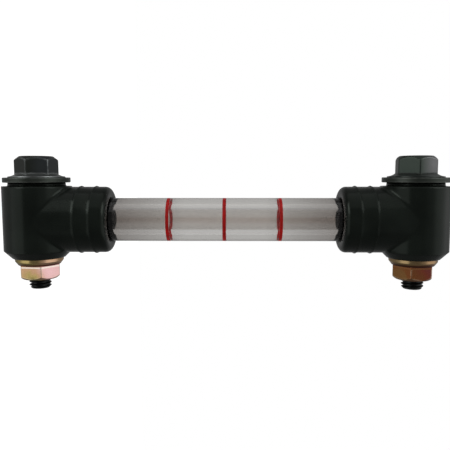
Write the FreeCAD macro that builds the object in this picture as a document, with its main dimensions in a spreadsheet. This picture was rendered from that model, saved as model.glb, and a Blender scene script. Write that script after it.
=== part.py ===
import FreeCAD, Part
import math
import os
import re
import Sketcher
from FreeCAD import Placement, Rotation, Vector

# Oil level gauge for the wall of a hydraulic tank: a clear sight tube held between two moulded
# end fittings, each fixed through the tank wall by a hollow bolt that also carries the oil.
# Frame: origin on the tank wall midway between the bolts, Z up along the tube, Y into the tank.

doc = FreeCAD.newDocument("OilLevelGauge")
sheet = doc.addObject("Spreadsheet::Sheet", "Sizes")

# Driving sizes in millimetres. A reach is measured from the bolt axis along the tube, and a
# rise along the axis that the piece is turned about.
sizes = {
    "bolt_centres": 175.0,
    "stand_off": 17.6,           # tank wall to tube axis
    # sight tube and its painted level rings
    "tube_outer": 20.0,
    "tube_bore": 9.5,
    "tube_end_reach": 15.5,
    "tube_edge_break": 0.4,
    "ring_width": 1.5,
    "ring_depth": 0.3,
    "ring_pitch": 25.6,
    "ring_drop": 0.4,            # middle ring below the middle of the tube
    # housing, about the bolt
    "barrel_over_socket": 0.5,
    "shoulder_over_socket": 0.25,
    "rear_rim": 1.0,             # flat left between the tank seal and the rear bevel
    "collar_wall": 2.9,          # round the head seal
    "collar_rise": 1.7,
    "shoulder_round": 0.8,
    "collar_round": 0.5,
    # housing, about the tube
    "socket_outer": 30.5,
    "tube_grip": 19.1,           # length of tube inside each housing
    "lip_round": 2.7,
    "mouth_bevel": 0.8,
    "rib_rise": 0.45,
    "rib_width": 2.0,
    "saddle_round": 2.0,
    "gallery_bore": 8.0,
    # tube seals, each set in from the end of the tube
    "inner_seal_inset": 5.2,
    "outer_seal_inset": 12.3,
    "seal_squeezed": 2.0,        # from the tube to the floor of the groove
    "seal_width": 2.6,
    "seal_slack": 0.2,           # groove wider than the seal, each side
    "seal_round": 0.85,
    # bush, gaskets and washer on the bolt
    "bolt_clearance": 0.4,
    "bush_wall": 2.3,
    "bush_bevel": 0.4,
    "port_bore": 5.0,
    "head_seal_band": 2.4,
    "tank_seal_band": 3.5,
    "gasket_rise": 1.8,
    "gasket_round": 0.25,
    "washer_outer": 30.0,
    "washer_rise": 2.3,
    "washer_round": 0.3,
    # hollow bolt
    "thread_outer": 10.0,
    "thread_beyond_nut": 4.6,
    "tip_bevel": 1.0,
    "flange_outer": 25.4,
    "flange_rim": 0.5,
    "flange_rise": 1.8,
    "flange_ledge": 0.6,         # from the flats of the hexagon to the top of the hollow
    "flange_hollow": 6.0,        # radius of the hollow sweep from the rim up to the hexagon
    "hex_across": 17.0,
    "head_rise": 9.8,
    "head_crown_inset": 1.1,     # from the flats in to the edge of the flat top
    "head_bevel_slope": 0.78,
    "waist_depth": 0.8,
    "waist_width": 8.0,
    "oil_bore": 5.5,
    "oil_bore_point": 1.6,
    "cross_bore": 5.0,
    # flange nut
    "nut_rise": 10.0,
    "nut_flange_inset": 0.1,     # from the edge of the tank seal
    "nut_flange_rim": 1.6,
    "nut_flange_rise": 3.4,
    "nut_crown_inset": 0.7,
    "nut_bevel_slope": 0.78,
    "nut_lead": 0.6,
}
for row, (name, number) in enumerate(sizes.items(), start=1):
    sheet.set(f"A{row}", name)
    sheet.set(f"B{row}", str(number))
    sheet.setAlias(f"B{row}", name)
doc.recompute()

# Each end has a sign along Z, and the corners of its hexagons stopped at these angles in
# degrees about the bolt, counted from the tube.
ends = {
    "lower": {"side": -1, "head_turn": 21.0, "nut_turn": 53.5},
    "upper": {"side": 1, "head_turn": 21.0, "nut_turn": 8.0},
}
ring_steps = {"low": -1, "middle": 0, "high": 1}

# Sizes that follow from the driving ones
bush_bore = "(thread_outer + bolt_clearance)"
bush_outer = f"({bush_bore} + bush_wall * 2)"
head_seal_outer = f"({bush_outer} + head_seal_band * 2)"
tank_seal_outer = f"({bush_outer} + tank_seal_band * 2)"
collar_outer = f"({head_seal_outer} + collar_wall * 2)"
barrel_outer = "(socket_outer + barrel_over_socket)"
shoulder = "(stand_off + socket_outer / 2 + shoulder_over_socket)"
housing_depth = f"({shoulder} + collar_rise)"
tube_length = "(bolt_centres - tube_end_reach * 2)"
socket_reach = "(tube_end_reach + tube_grip)"
seal_reaches = {
    "inner": "(tube_end_reach + inner_seal_inset)",
    "outer": "(tube_end_reach + outer_seal_inset)",
}
rear_bevel = f"(({barrel_outer} - {tank_seal_outer}) / 2 - rear_rim)"
bolt_seat = f"({housing_depth} + washer_rise)"
shank_length = f"({bolt_seat} + nut_rise + thread_beyond_nut)"


def value(formula):
    return float(sheet.evalExpression(formula))


def tie(item, target, formula):
    # the target follows the formula, with every size in it read from the sheet
    item.setExpression(target, re.sub(r"([a-z]+_[a-z_]+)", r"Sizes.\1", formula))


def new_body(name):
    body = doc.addObject("PartDesign::Body", name)
    body.Label = name
    return body


def base_plane(body, role):
    return next(item for item in body.Origin.OriginFeatures if item.Role == role)


def new_sketch(body, name, role="XZ_Plane", lift=None):
    sketch = body.newObject("Sketcher::SketchObject", name)
    sketch.AttachmentSupport = (base_plane(body, role), [""])
    sketch.MapMode = "FlatFace"
    if lift:
        tie(sketch, "AttachmentOffset.Base.y", lift)
    return sketch


def pin(sketch, edge, end, across, up):
    for kind, formula in (("DistanceX", across), ("DistanceY", up)):
        number = sketch.addConstraint(Sketcher.Constraint(kind, -1, 1, edge, end, value(formula)))
        tie(sketch, f"Constraints[{number}]", formula)


def hollow_arc(start, end, radius):
    # an arc that bends in towards the outline it belongs to, drawn from end back to start
    half = (start - end) / 2
    left = Vector(-half.y, half.x, 0).normalize()
    centre = end + half + left * math.sqrt(radius**2 - half.Length**2)
    angles = [math.atan2(point.y - centre.y, point.x - centre.x) for point in (end, start)]
    return Part.ArcOfCircle(Part.Circle(centre, Vector(0, 0, 1), radius), *angles)


def outline(sketch, corners, hollow=None):
    # A closed outline through the corners, taken counter-clockwise. Its edges are straight but
    # for the hollow one, given as the number of the corner it leaves and its radius.
    points = [Vector(value(across), value(up), 0) for across, up in corners]
    edges = []
    for number, start in enumerate(points):
        end = points[(number + 1) % len(points)]
        if hollow and hollow[0] == number:
            edge = sketch.addGeometry(hollow_arc(start, end, value(hollow[1])))
            radius = sketch.addConstraint(Sketcher.Constraint("Radius", edge, value(hollow[1])))
            tie(sketch, f"Constraints[{radius}]", hollow[1])
            edges.append((edge, 2, 1))
        else:
            edges.append((sketch.addGeometry(Part.LineSegment(start, end)), 1, 2))
    for number, (across, up) in enumerate(corners):
        last, _, last_end = edges[number - 1]
        edge, first_end, _ = edges[number]
        sketch.addConstraint(Sketcher.Constraint("Coincident", last, last_end, edge, first_end))
        pin(sketch, edge, first_end, across, up)
    doc.recompute()


def turned(body, kind, name, sketch, axis="V_Axis"):
    # a full turn of the sketch: Revolution adds it, Groove cuts it away
    feature = body.newObject(f"PartDesign::{kind}", name)
    feature.Profile = sketch
    feature.ReferenceAxis = (sketch, [axis])
    feature.Angle = 360
    doc.recompute()
    return feature


def turn(body, kind, name, corners, axis="V_Axis", lift=None, hollow=None):
    sketch = new_sketch(body, f"{name}Sketch", lift=lift)
    outline(sketch, corners, hollow)
    return turned(body, kind, name, sketch, axis)


def circle_edges(feature, axis, diameters, places):
    # names of the full circles of these diameters that lie square to the axis at these places
    names = []
    for number, edge in enumerate(feature.Shape.Edges, start=1):
        low = getattr(edge.BoundBox, f"{axis}Min")
        high = getattr(edge.BoundBox, f"{axis}Max")
        fits = [diameter for diameter in diameters
                if abs(edge.Length - math.pi * value(diameter)) < 1e-3]
        lies = [place for place in places
                if abs(low - value(place)) < 1e-3 and abs(high - value(place)) < 1e-3]
        if fits and lies:
            names.append(f"Edge{number}")
    return names


def saddle_edges(feature):
    # the edges where barrel and socket meet are neither straight nor round
    plain = ("Part::GeomLine", "Part::GeomCircle")
    edges = enumerate(feature.Shape.Edges, start=1)
    return [f"Edge{number}" for number, edge in edges if edge.Curve.TypeId not in plain]


def dress(body, kind, name, feature, edges, size):
    # a Fillet or Chamfer on the named edges
    dressed = body.newObject(f"PartDesign::{kind}", name)
    dressed.Base = (feature, edges)
    tie(dressed, "Radius" if kind == "Fillet" else "Size", size)
    doc.recompute()
    return dressed


def pair_along_tube(body, name, feature, sketch):
    # the same feature again at the outer seal
    pair = body.newObject("PartDesign::LinearPattern", name)
    pair.Originals = [feature]
    pair.Direction = (sketch, ["H_Axis"])
    tie(pair, "Length", "outer_seal_inset - inner_seal_inset")
    pair.Occurrences = 2
    body.Tip = pair
    doc.recompute()
    return pair


def round_hole(body, name, role, across, up, diameter, setup):
    # a drilled hole, square to one of the body's own planes
    sketch = new_sketch(body, f"{name}Sketch", role)
    spot = Vector(value(across), value(up), 0)
    circle = sketch.addGeometry(Part.Circle(spot, Vector(0, 0, 1), value(diameter) / 2))
    size = sketch.addConstraint(Sketcher.Constraint("Diameter", circle, value(diameter)))
    tie(sketch, f"Constraints[{size}]", diameter)
    pin(sketch, circle, 3, across, up)
    hole = body.newObject("PartDesign::Pocket", name)
    hole.Profile = sketch
    for setting, choice in setup.items():
        setattr(hole, setting, choice)
    doc.recompute()
    return hole


def hexagon(body, name, rise):
    # a hexagonal bar with a corner on the body's X axis
    sketch = new_sketch(body, f"{name}Sketch", "XY_Plane")
    corner = value("hex_across") / math.sqrt(3)
    turns = [Rotation(Vector(0, 0, 1), 60 * number) for number in range(6)]
    points = [turn_by.multVec(Vector(corner, 0, 0)) for turn_by in turns]
    sides = [sketch.addGeometry(Part.LineSegment(points[n], points[(n + 1) % 6])) for n in range(6)]
    guide = sketch.addGeometry(Part.Circle(Vector(0, 0, 0), Vector(0, 0, 1), corner), True)
    sketch.addConstraint(Sketcher.Constraint("Coincident", guide, 3, -1, 1))
    for number, side in enumerate(sides):
        sketch.addConstraint(Sketcher.Constraint("Coincident", sides[number - 1], 2, side, 1))
        sketch.addConstraint(Sketcher.Constraint("PointOnObject", side, 1, guide))
        if number:
            sketch.addConstraint(Sketcher.Constraint("Equal", sides[0], side))
    sketch.addConstraint(Sketcher.Constraint("PointOnObject", sides[0], 1, -1))
    across = sketch.addConstraint(
        Sketcher.Constraint("Distance", sides[1], 1, sides[4], value("hex_across")))
    tie(sketch, f"Constraints[{across}]", "hex_across")
    bar = body.newObject("PartDesign::Pad", name)
    bar.Profile = sketch
    tie(bar, "Length", rise)
    doc.recompute()
    return bar


def corner_bevel(body, name, end, inset, slope):
    # takes the corners off the end of a hexagon, from the round crown outwards
    crown = f"hex_across / 2 - {inset}"
    run = "hex_across / 4"
    turn(body, "Groove", name, [
        (crown, end),
        (f"{crown} + {run}", f"{end} - {run} * {slope}"),
        (f"{crown} + {run}", end),
    ])


def housing(name):
    # Moulded T: barrel about the bolt, socket about the tube, seats and galleries inside. The
    # two are drawn on their far sides, which keeps the seams of the turned faces off the saddle.
    body = new_body(name)
    turn(body, "Revolution", "Barrel", [
        ("0", "0"),
        ("0", housing_depth),
        (f"-{collar_outer} / 2", housing_depth),
        (f"-{collar_outer} / 2", shoulder),
        (f"-{barrel_outer} / 2", shoulder),
        (f"-{barrel_outer} / 2", "0"),
    ])
    socket_corners = [
        ("0", "0"),
        ("0", "-socket_outer / 2"),
        (socket_reach, "-socket_outer / 2"),
        (socket_reach, "0"),
    ]
    crossing = turn(body, "Revolution", "Socket", socket_corners, "H_Axis", "stand_off")
    dress(body, "Fillet", "SaddleRound", crossing, saddle_edges(crossing), "saddle_round")
    bevel_foot = f"({tank_seal_outer} / 2 + rear_rim)"
    bevel_run = f"({rear_bevel} + saddle_round * 2)"
    turn(body, "Groove", "RearBevel", [
        (f"-{bevel_foot}", "0"),
        (f"-{bevel_foot} - {bevel_run}", bevel_run),
        (f"-{bevel_foot} - {bevel_run}", "0"),
    ])
    # the bevel runs under the barrel only, so the socket stands full again
    full = turn(body, "Revolution", "SocketBelly", socket_corners, "H_Axis", "stand_off")
    # two rounds share the width of the shoulder
    shoulder_limit = f"({barrel_outer} - {collar_outer}) / 5"
    rims = circle_edges(full, "Z", [barrel_outer, collar_outer], [shoulder])
    shouldered = dress(
        body, "Fillet", "ShoulderRound", full, rims, f"min(shoulder_round; {shoulder_limit})")
    top = circle_edges(shouldered, "Z", [collar_outer], [housing_depth])
    crowned = dress(body, "Fillet", "CollarRound", shouldered, top, "collar_round")
    lip = circle_edges(crowned, "X", ["socket_outer"], [socket_reach])
    dress(body, "Fillet", "LipRound", crowned, lip, "lip_round")

    rib_sketch = new_sketch(body, "RibSketch", lift="stand_off")
    at_seal = seal_reaches["inner"]
    outline(rib_sketch, [
        (f"{at_seal} - rib_width / 2", "tube_outer / 2 + seal_squeezed"),
        (f"{at_seal} + rib_width / 2", "tube_outer / 2 + seal_squeezed"),
        (f"{at_seal} + rib_width / 2", "socket_outer / 2"),
        (at_seal, "socket_outer / 2 + rib_rise"),
        (f"{at_seal} - rib_width / 2", "socket_outer / 2"),
    ])
    rib = turned(body, "Revolution", "Rib", rib_sketch, "H_Axis")
    pair_along_tube(body, "RibPair", rib, rib_sketch)

    front_floor = f"{housing_depth} - gasket_rise"
    turn(body, "Groove", "BoltBore", [
        ("0", "0"),
        (f"{tank_seal_outer} / 2", "0"),
        (f"{tank_seal_outer} / 2", "gasket_rise"),
        (f"{bush_outer} / 2", "gasket_rise"),
        (f"{bush_outer} / 2", front_floor),
        (f"{head_seal_outer} / 2", front_floor),
        (f"{head_seal_outer} / 2", housing_depth),
        ("0", housing_depth),
    ])
    turn(body, "Groove", "TubeBore", [
        ("0", "0"),
        (socket_reach, "0"),
        (socket_reach, "tube_outer / 2 + mouth_bevel"),
        (f"{socket_reach} - mouth_bevel", "tube_outer / 2"),
        ("tube_end_reach", "tube_outer / 2"),
        ("tube_end_reach", "gallery_bore / 2"),
        ("0", "gallery_bore / 2"),
    ], "H_Axis", "stand_off")
    groove_sketch = new_sketch(body, "SealGrooveSketch", lift="stand_off")
    half_groove = "(seal_width / 2 + seal_slack)"
    outline(groove_sketch, [
        (f"{at_seal} - {half_groove}", "gallery_bore / 2"),
        (f"{at_seal} + {half_groove}", "gallery_bore / 2"),
        (f"{at_seal} + {half_groove}", "tube_outer / 2 + seal_squeezed"),
        (f"{at_seal} - {half_groove}", "tube_outer / 2 + seal_squeezed"),
    ])
    groove = turned(body, "Groove", "SealGroove", groove_sketch, "H_Axis")
    pair_along_tube(body, "SealGroovePair", groove, groove_sketch)
    return body


def bush(name):
    # steel sleeve that takes the bolt's clamping load, with a port towards the tube
    body = new_body(name)
    sleeve = turn(body, "Revolution", "Sleeve", [
        (f"{bush_bore} / 2", "0"),
        (f"{bush_outer} / 2", "0"),
        (f"{bush_outer} / 2", housing_depth),
        (f"{bush_bore} / 2", housing_depth),
    ])
    rims = circle_edges(sleeve, "Z", [bush_bore], ["0", housing_depth])
    dress(body, "Chamfer", "Leads", sleeve, rims, "bush_bevel")
    port = {"Type": "ThroughAll", "Reversed": True}
    round_hole(body, "Port", "YZ_Plane", "0", "stand_off", "port_bore", port)
    return body


def gasket(name, outer, floor):
    # flat rubber ring round the bush, flush with the end of the housing
    body = new_body(name)
    ring = turn(body, "Revolution", "Ring", [
        (f"{bush_outer} / 2", floor),
        (f"{outer} / 2", floor),
        (f"{outer} / 2", f"{floor} + gasket_rise"),
        (f"{bush_outer} / 2", f"{floor} + gasket_rise"),
    ])
    edges = circle_edges(ring, "Z", [bush_outer, outer], [floor, f"{floor} + gasket_rise"])
    dress(body, "Fillet", "Rounds", ring, edges, "gasket_round")
    return body


def washer(name):
    body = new_body(name)
    disc = turn(body, "Revolution", "Disc", [
        (f"{bush_bore} / 2", housing_depth),
        ("washer_outer / 2", housing_depth),
        ("washer_outer / 2", bolt_seat),
        (f"{bush_bore} / 2", bolt_seat),
    ])
    rims = circle_edges(disc, "Z", ["washer_outer"], [housing_depth, bolt_seat])
    dress(body, "Fillet", "RimRound", disc, rims, "washer_round")
    return body


def hollow_bolt(name):
    # Flange bolt whose seat is at the body's origin, head up. Oil enters at the tip, rises in
    # the bore and leaves by the cross bore into the waist, level with the tube.
    body = new_body(name)
    oil_level = f"stand_off - {bolt_seat}"
    turn(body, "Revolution", "ShankAndFlange", [
        ("0", f"-{shank_length}"),
        ("thread_outer / 2 - tip_bevel", f"-{shank_length}"),
        ("thread_outer / 2", f"tip_bevel - {shank_length}"),
        ("thread_outer / 2", f"{oil_level} - waist_width / 2"),
        ("thread_outer / 2 - waist_depth", f"{oil_level} - waist_width / 2 + waist_depth"),
        ("thread_outer / 2 - waist_depth", f"{oil_level} + waist_width / 2 - waist_depth"),
        ("thread_outer / 2", f"{oil_level} + waist_width / 2"),
        ("thread_outer / 2", "0"),
        ("flange_outer / 2", "0"),
        ("flange_outer / 2", "flange_rim"),
        ("hex_across / 2 + flange_ledge", "flange_rise"),
        ("0", "flange_rise"),
    ], hollow=(9, "flange_hollow"))
    hexagon(body, "Head", "head_rise")
    corner_bevel(body, "HeadBevel", "head_rise", "head_crown_inset", "head_bevel_slope")
    turn(body, "Groove", "OilBore", [
        ("0", f"-{shank_length}"),
        ("oil_bore / 2", f"-{shank_length}"),
        ("oil_bore / 2", f"{oil_level} + cross_bore / 2"),
        ("0", f"{oil_level} + cross_bore / 2 + oil_bore_point"),
    ])
    through = {"Type": "ThroughAll", "Midplane": True}
    round_hole(body, "CrossBore", "YZ_Plane", "0", oil_level, "cross_bore", through)
    return body


def flange_nut(name):
    # seat at the body's origin, threaded end up
    body = new_body(name)
    turn(body, "Revolution", "Flange", [
        ("0", "0"),
        (f"{tank_seal_outer} / 2 - nut_flange_inset", "0"),
        (f"{tank_seal_outer} / 2 - nut_flange_inset", "nut_flange_rim"),
        ("hex_across / 2", "nut_flange_rise"),
        ("0", "nut_flange_rise"),
    ])
    hexagon(body, "Hexagon", "nut_rise")
    corner_bevel(body, "EndBevel", "nut_rise", "nut_crown_inset", "nut_bevel_slope")
    turn(body, "Groove", "Bore", [
        ("0", "0"),
        ("thread_outer / 2 + nut_lead", "0"),
        ("thread_outer / 2", "nut_lead"),
        ("thread_outer / 2", "nut_rise - nut_lead"),
        ("thread_outer / 2 + nut_lead", "nut_rise"),
        ("0", "nut_rise"),
    ])
    return body


def tube_seal(name):
    # rubber ring squeezed between the tube and its groove, centred on the body's origin
    body = new_body(name)
    ring = turn(body, "Revolution", "Ring", [
        ("tube_outer / 2", "-seal_width / 2"),
        ("tube_outer / 2 + seal_squeezed", "-seal_width / 2"),
        ("tube_outer / 2 + seal_squeezed", "seal_width / 2"),
        ("tube_outer / 2", "seal_width / 2"),
    ])
    walls = ["tube_outer", "tube_outer + seal_squeezed * 2"]
    edges = circle_edges(ring, "Z", walls, ["-seal_width / 2", "seal_width / 2"])
    dress(body, "Fillet", "Rounds", ring, edges, "seal_round")
    return body


def sight_tube(name):
    # clear tube with three shallow grooves for the painted rings
    body = new_body(name)
    tube_ends = [f"-{tube_length} / 2", f"{tube_length} / 2"]
    wall = turn(body, "Revolution", "Wall", [
        ("tube_bore / 2", tube_ends[0]),
        ("tube_outer / 2", tube_ends[0]),
        ("tube_outer / 2", tube_ends[1]),
        ("tube_bore / 2", tube_ends[1]),
    ])
    ends_outside = circle_edges(wall, "Z", ["tube_outer"], tube_ends)
    dress(body, "Chamfer", "EdgeBreak", wall, ends_outside, "tube_edge_break")
    sketch = new_sketch(body, "RingGrooveSketch")
    outline(sketch, [
        ("tube_outer / 2 - ring_depth", "-ring_drop - ring_pitch - ring_width / 2"),
        ("tube_outer / 2 + ring_depth", "-ring_drop - ring_pitch - ring_width / 2"),
        ("tube_outer / 2 + ring_depth", "-ring_drop - ring_pitch + ring_width / 2"),
        ("tube_outer / 2 - ring_depth", "-ring_drop - ring_pitch + ring_width / 2"),
    ])
    groove = turned(body, "Groove", "RingGroove", sketch)
    grooves = body.newObject("PartDesign::LinearPattern", "RingGrooves")
    grooves.Originals = [groove]
    grooves.Direction = (sketch, ["V_Axis"])
    tie(grooves, "Length", "ring_pitch * 2")
    grooves.Occurrences = 3
    body.Tip = grooves
    doc.recompute()
    return body


def level_ring(name):
    # red paint that fills one groove flush with the tube
    body = new_body(name)
    turn(body, "Revolution", "Band", [
        ("tube_outer / 2 - ring_depth", "-ring_width / 2"),
        ("tube_outer / 2", "-ring_width / 2"),
        ("tube_outer / 2", "ring_width / 2"),
        ("tube_outer / 2 - ring_depth", "ring_width / 2"),
    ])
    return body


def place(body, rotation, y, z):
    body.Placement = Placement(Vector(0, 0, 0), rotation)
    tie(body, "Placement.Base.y", y)
    tie(body, "Placement.Base.z", z)
    return body


def end_rotation(side, corner_turn=0.0):
    # from a fitting's own frame, Z out from the wall along the bolt and X towards the tube
    out_from_wall = Rotation(Vector(1, 0, 0), 90)
    towards_tube = Rotation(Vector(0, 1, 0), 90 * side)
    return towards_tube * out_from_wall * Rotation(Vector(0, 0, 1), corner_turn)


def end_fitting(end, side, head_turn, nut_turn):
    at_bolt = f"bolt_centres / 2 * {side}"
    upright = end_rotation(side)
    wall_pieces = [
        housing(f"housing_{end}"),
        bush(f"bush_{end}"),
        gasket(f"tank_seal_{end}", tank_seal_outer, "0"),
        gasket(f"head_seal_{end}", head_seal_outer, f"{housing_depth} - gasket_rise"),
        washer(f"washer_{end}"),
    ]
    pieces = [place(piece, upright, "0", at_bolt) for piece in wall_pieces]
    head = end_rotation(side, head_turn)
    pieces.append(place(hollow_bolt(f"hollow_bolt_{end}"), head, f"-{bolt_seat}", at_bolt))
    nut = end_rotation(side, nut_turn) * Rotation(Vector(1, 0, 0), 180)
    pieces.append(place(flange_nut(f"flange_nut_{end}"), nut, "0", at_bolt))
    for which, reach in seal_reaches.items():
        at_seal = f"(bolt_centres / 2 - {reach}) * {side}"
        pieces.append(place(tube_seal(f"tube_seal_{end}_{which}"), Rotation(), "-stand_off", at_seal))
    return pieces


parts = [place(sight_tube("sight_tube"), Rotation(), "-stand_off", "0")]
for step_name, step in ring_steps.items():
    at_ring = f"ring_pitch * {step} - ring_drop"
    parts.append(place(level_ring(f"level_ring_{step_name}"), Rotation(), "-stand_off", at_ring))
for end, setting in ends.items():
    parts += end_fitting(end, **setting)
doc.recompute()

for item in doc.Objects:
    if "Invalid" in item.State or "Error" in item.State:
        raise RuntimeError(f"{item.Label} failed: {item.State}")
for part in parts:
    if part.Shape.isNull() or not part.Shape.isValid() or len(part.Shape.Solids) != 1:
        raise RuntimeError(f"{part.Label} is not one sound solid")

os.makedirs("parts", exist_ok=True)
for part in parts:
    part.Shape.exportStep(f"parts/{part.Label}.step")
    print(f"{part.Label}: {part.Shape.Volume:.1f} mm3")
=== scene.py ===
import math

import bpy
from mathutils import Matrix, Vector


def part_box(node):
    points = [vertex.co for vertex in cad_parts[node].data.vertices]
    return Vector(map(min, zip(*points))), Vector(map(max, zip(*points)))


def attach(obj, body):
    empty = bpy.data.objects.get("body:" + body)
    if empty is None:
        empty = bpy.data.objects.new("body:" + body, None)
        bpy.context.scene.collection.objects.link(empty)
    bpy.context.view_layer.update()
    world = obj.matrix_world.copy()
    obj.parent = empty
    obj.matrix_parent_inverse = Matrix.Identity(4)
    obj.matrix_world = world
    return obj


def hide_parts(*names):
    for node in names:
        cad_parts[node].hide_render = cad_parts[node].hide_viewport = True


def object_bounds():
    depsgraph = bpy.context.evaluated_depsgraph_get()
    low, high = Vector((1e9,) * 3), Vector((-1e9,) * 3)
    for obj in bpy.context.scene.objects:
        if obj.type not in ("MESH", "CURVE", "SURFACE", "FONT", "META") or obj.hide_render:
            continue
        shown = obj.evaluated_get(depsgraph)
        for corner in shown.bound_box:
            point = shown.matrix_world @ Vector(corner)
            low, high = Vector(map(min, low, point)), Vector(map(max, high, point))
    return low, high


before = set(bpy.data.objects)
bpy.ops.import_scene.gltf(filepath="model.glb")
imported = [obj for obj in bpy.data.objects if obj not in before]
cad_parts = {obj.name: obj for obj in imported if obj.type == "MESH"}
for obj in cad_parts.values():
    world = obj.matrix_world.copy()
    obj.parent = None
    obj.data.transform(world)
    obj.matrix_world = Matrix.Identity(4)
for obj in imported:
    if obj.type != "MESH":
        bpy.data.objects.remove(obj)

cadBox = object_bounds()
print("frame loaded:", len(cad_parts), "nodes")

# Z runs up along the tube, Y into the tank wall, and the photographed side faces +X. New pieces
# are modelled in millimetres about the origin, and then settled in the frame.
mm = 0.001
mergeGap = 0.001                   # millimetres
sortFrom = (137.0, 59.0, 311.0)    # off every axis, so that no two corners are equally far
ends = {"lower": -1, "upper": 1}


def middle(node, axis):
    low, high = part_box(node)
    return (low[axis] + high[axis]) / 2


tubeY = middle("sight_tube", 1)
tubeLow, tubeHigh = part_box("sight_tube")
tubeHalf = (tubeHigh.z - tubeLow.z) / 2
boltZ = {end: middle(f"washer_{end}", 2) for end in ends}
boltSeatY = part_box("washer_lower")[0].y
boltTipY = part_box("hollow_bolt_lower")[1].y


def deselect():
    if bpy.context.mode != "OBJECT":
        bpy.ops.object.mode_set(mode="OBJECT")
    bpy.ops.object.select_all(action="DESELECT")


def activate(piece):
    deselect()
    piece.select_set(True)
    bpy.context.view_layer.objects.active = piece


def applyModifier(piece, kind, **settings):
    activate(piece)
    modifier = piece.modifiers.new(kind.title(), kind)
    for name, setting in settings.items():
        setattr(modifier, name, setting)
    bpy.ops.object.modifier_apply(modifier=modifier.name)


def sortMesh():
    # numbers the corners and faces by their distance from the cursor, so that their order and
    # the bevels come out the same in each run
    bpy.context.scene.cursor.location = sortFrom
    bpy.ops.mesh.select_all(action="SELECT")
    bpy.ops.mesh.sort_elements(type="CURSOR_DISTANCE", elements={"VERT", "EDGE", "FACE"})


def discard(piece):
    mesh = piece.data
    bpy.data.objects.remove(piece)
    bpy.data.meshes.remove(mesh)


def combine(piece, other, operation):
    # boolean with another piece, which is used up
    applyModifier(piece, "BOOLEAN", object=other, operation=operation, solver="EXACT")
    discard(other)
    bpy.ops.object.mode_set(mode="EDIT")
    bpy.ops.mesh.select_all(action="SELECT")
    bpy.ops.mesh.remove_doubles(threshold=mergeGap)
    bpy.ops.mesh.dissolve_degenerate(threshold=mergeGap)
    sortMesh()
    deselect()


def turned(name, rings, segments=128):
    # A shape turned about Z. Each ring is (radius, height). It closes on itself where the last
    # ring is the first, and is capped at both ends otherwise.
    deselect()
    radius, height = rings[0]
    bpy.ops.mesh.primitive_circle_add(vertices=segments, radius=radius, location=(0, 0, height))
    piece = bpy.context.active_object
    piece.name = piece.data.name = name
    bpy.ops.object.transform_apply(location=True, rotation=True, scale=True)
    bpy.ops.object.mode_set(mode="EDIT")
    bpy.ops.mesh.select_all(action="SELECT")
    for (lastRadius, lastHeight), (radius, height) in zip(rings, rings[1:]):
        bpy.ops.mesh.extrude_region_move(
            TRANSFORM_OT_translate={"value": (0, 0, height - lastHeight)})
        share = radius / lastRadius
        bpy.ops.transform.resize(value=(share, share, 1), center_override=(0, 0, height))
    bpy.ops.mesh.select_all(action="SELECT")
    bpy.ops.mesh.remove_doubles(threshold=mergeGap)
    if rings[0] != rings[-1]:
        bpy.ops.mesh.fill_holes(sides=0)
    bpy.ops.mesh.normals_make_consistent(inside=False)
    sortMesh()
    deselect()
    return piece


def arc(radius, height, size, start, stop, steps=6):
    # rings along an arc, angles in degrees from outwards (0) to up (90)
    rings = []
    for step in range(steps + 1):
        angle = math.radians(start + (stop - start) * step / steps)
        rings.append((radius + size * math.cos(angle), height + size * math.sin(angle)))
    return rings


def hollowArc(start, stop, size, steps=12):
    # rings from start to stop along an arc that sinks in towards the axis
    begin, finish = Vector(start), Vector(stop)
    half = (finish - begin) / 2
    side = Vector((half.y, -half.x)).normalized()
    centre = begin + half + side * math.sqrt(size**2 - half.length_squared)
    first, last = begin - centre, finish - centre
    sweep = last.angle_signed(first)
    rings = []
    for step in range(steps + 1):
        turn = Matrix.Rotation(sweep * step / steps, 2)
        rings.append(tuple(centre + turn @ first))
    return rings


def hexBlock(name, sizes, low, high):
    # hexagonal block with a corner on the X axis, its upper corners turned off to a round crown
    corner = sizes["across"] / math.sqrt(3)
    deselect()
    bpy.ops.mesh.primitive_cylinder_add(
        vertices=6, radius=corner, depth=high - low, location=(0, 0, (low + high) / 2),
        rotation=(0, 0, math.radians(30)))
    block = bpy.context.active_object
    block.name = block.data.name = name
    bpy.ops.object.transform_apply(location=True, rotation=True, scale=True)
    crown = sizes["across"] / 2 - sizes["crownInset"]
    reach = corner * 1.3    # well past the corners
    cutter = turned("crownCutter", [
        (reach, low - reach),
        (reach, high - (reach - crown) * sizes["crownSlope"]),
        (crown, high),
    ], segments=96)
    combine(block, cutter, "INTERSECT")
    applyModifier(block, "BEVEL", width=sizes["rounding"], segments=3, limit_method="ANGLE",
                  angle_limit=math.radians(25), harden_normals=False)
    return block


def finishSurface(piece, angle=32):
    # smooth shading that stays flat on the large faces
    activate(piece)
    bpy.ops.object.shade_smooth_by_angle(angle=math.radians(angle))
    applyModifier(piece, "WEIGHTED_NORMAL", mode="FACE_AREA", weight=50, keep_sharp=True)


def settle(piece, spot):
    # from millimetres about the origin to the piece's place in the frame
    piece.matrix_world = spot @ Matrix.Scale(mm, 4)
    activate(piece)
    bpy.ops.object.transform_apply(location=True, rotation=True, scale=True)


def boltSpot(side, y, z, corner, flip=False):
    # the place of a piece that is turned about the bolt: its Z goes out from the wall and its X
    # towards the tube, after a turn of its corners in degrees
    turn = Matrix.Rotation(math.radians(90 * side), 4, "Y")
    turn = turn @ Matrix.Rotation(math.radians(90), 4, "X")
    turn = turn @ Matrix.Rotation(math.radians(corner), 4, "Z")
    if flip:
        turn = turn @ Matrix.Rotation(math.radians(180), 4, "X")
    return Matrix.Translation((0, y, z)) @ turn


def placeCopy(model, name, spot):
    # a copy of a modelled piece, with a mesh of its own, finished where it belongs
    piece = model.copy()
    piece.data = model.data.copy()
    piece.name = piece.data.name = name
    bpy.context.scene.collection.objects.link(piece)
    settle(piece, spot)
    finishSurface(piece)
    return piece


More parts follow.
